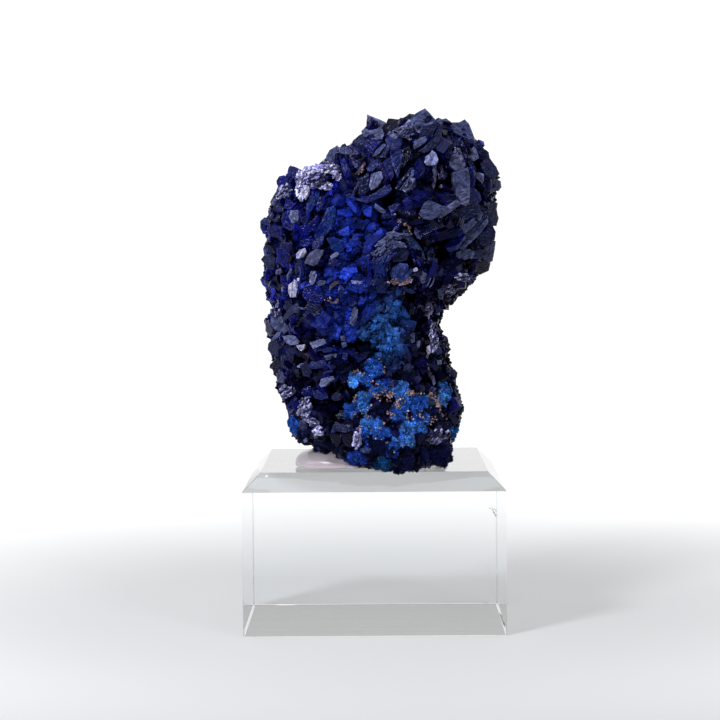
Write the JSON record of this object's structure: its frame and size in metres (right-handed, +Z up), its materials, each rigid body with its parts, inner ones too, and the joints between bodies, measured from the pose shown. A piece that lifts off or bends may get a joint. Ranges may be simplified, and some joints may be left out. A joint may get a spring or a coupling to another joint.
{
  "type": "azurite specimen",
  "caption": "Upright cluster of dark blue azurite crystals, stuck with clear putty to a low square clear acrylic display block with bevelled top edges.",
  "frame": {"origin": "centre of the acrylic block's underside", "axes": "+Z up through the specimen, -Y towards the viewer of the front, +X to that viewer's right"},
  "size_m": [0.0325, 0.0331, 0.0648],
  "materials": {
    "clear_acrylic": "polished, clear",
    "clear_putty": "soft, clear, slightly cloudy",
    "azurite_blue": "glossy crystal faces, matt between them"
  },
  "bodies": {
    "root": {"acrylic_block": "clear_acrylic", "mounting_putty": "clear_putty", "azurite_specimen": "azurite_blue"}
  },
  "joints": []
}
